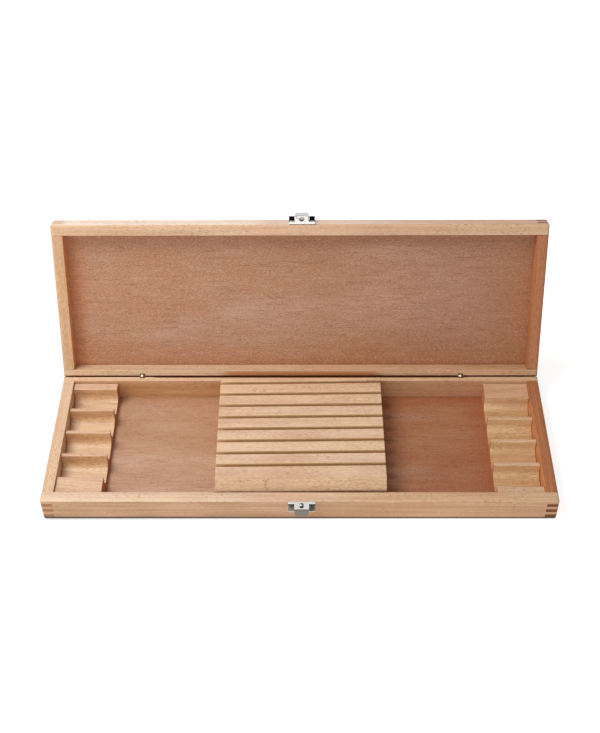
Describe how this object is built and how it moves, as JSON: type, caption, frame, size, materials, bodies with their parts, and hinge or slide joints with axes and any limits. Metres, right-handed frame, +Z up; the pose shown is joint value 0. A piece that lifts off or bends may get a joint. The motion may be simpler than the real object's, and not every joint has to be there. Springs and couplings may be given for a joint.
{
  "type": "knife display case",
  "caption": "Shallow finger-jointed beech case with a hinged lid, a slotted block for blades, scooped handle rests and a nickel snap catch.",
  "frame": {"origin": "middle of the underside of the base, on the plane it rests on", "axes": "+X along the case to the right as seen from the front, +Y to the rear where the hinges are, +Z up"},
  "size_m": [0.47, 0.2354, 0.1812],
  "materials": {
    "beech": "oiled solid beech",
    "block_beech": "sanded solid beech",
    "beech_veneer": "lacquered beech veneer on plywood",
    "nickel": "bright nickel plate",
    "steel": "plain steel wire and nails"
  },
  "bodies": {
    "case": {"base_front_wall": "beech", "base_rear_wall": "beech", "base_left_wall": "beech", "base_right_wall": "beech", "base_floor_panel": "beech_veneer", "centre_block": "block_beech", "left_rest": "beech", "right_rest": "beech", "base_catch_plate": "nickel", "base_catch_nail_left": "steel", "base_catch_nail_right": "steel", "catch_stud": "nickel", "left_hinge_lower_barrel": "nickel", "left_hinge_pin": "steel", "right_hinge_lower_barrel": "nickel", "right_hinge_pin": "steel"},
    "lid": {"lid_front_wall": "beech", "lid_rear_wall": "beech", "lid_left_wall": "beech", "lid_right_wall": "beech", "lid_panel": "beech_veneer", "lid_catch_plate": "nickel", "lid_catch_nail_left": "steel", "lid_catch_nail_right": "steel", "catch_socket": "nickel", "left_hinge_upper_barrel": "nickel", "right_hinge_upper_barrel": "nickel"}
  },
  "joints": [
    {"name": "lid_hinge", "type": "hinge", "parent": "case", "child": "lid", "pos_m": [0, 0.07649, 0.02635], "axis": [1, 0, 0], "range_deg": [0, 110.8]}
  ]
}
